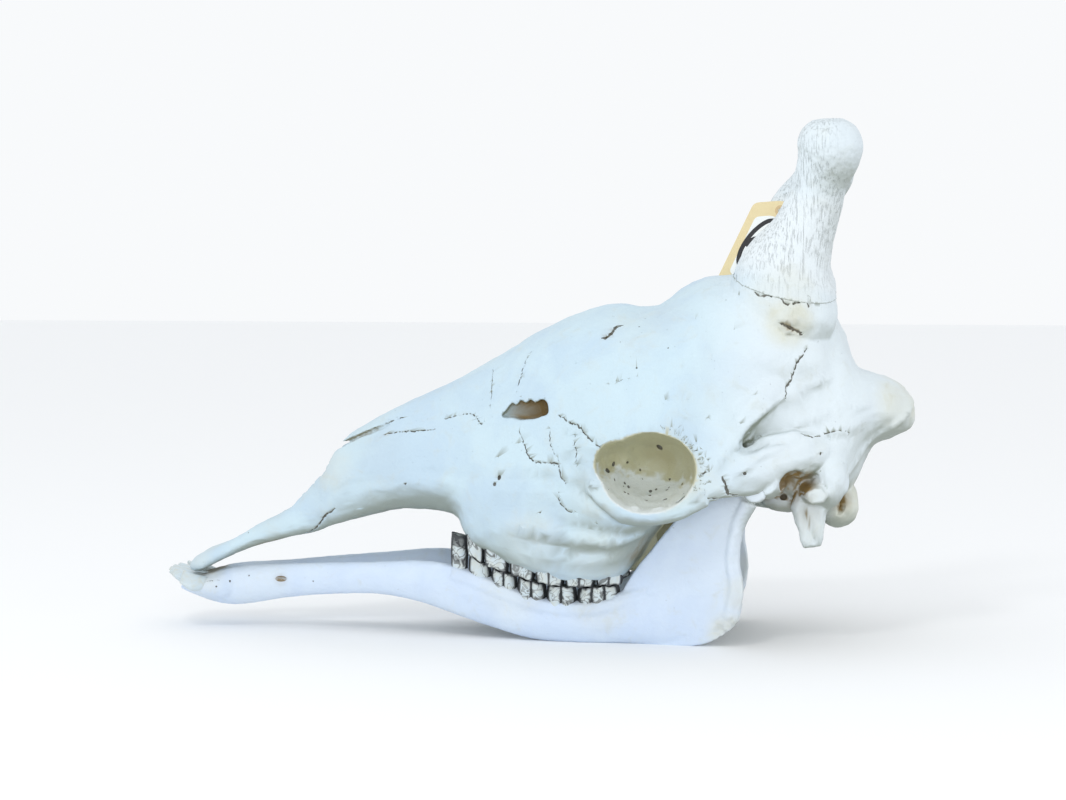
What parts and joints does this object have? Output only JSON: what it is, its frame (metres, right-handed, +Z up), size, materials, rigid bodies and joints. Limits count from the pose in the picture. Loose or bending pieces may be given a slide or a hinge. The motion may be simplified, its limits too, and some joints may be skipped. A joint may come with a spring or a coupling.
{
  "type": "giraffe skull",
  "caption": "Life-size giraffe skull with lower jaw, horn-like ossicones, cheek and front teeth, standing on its jaw as a still display model with a card tag.",
  "frame": {"origin": "on the floor, under the middle of the skull's bounding box", "axes": "nose to -X, left side of the head to -Y, +Z up; the jaw's lower edges stand on z = 0"},
  "size_m": [0.6936, 0.2532, 0.4701],
  "materials": {
    "bone": "matt cleaned bone",
    "card": "matt"
  },
  "bodies": {
    "root": {"cranium": "bone", "mandible_left": "bone", "mandible_right": "bone", "ossicone_left": "bone", "ossicone_right": "bone", "specimen_tag": "card"}
  },
  "joints": []
}
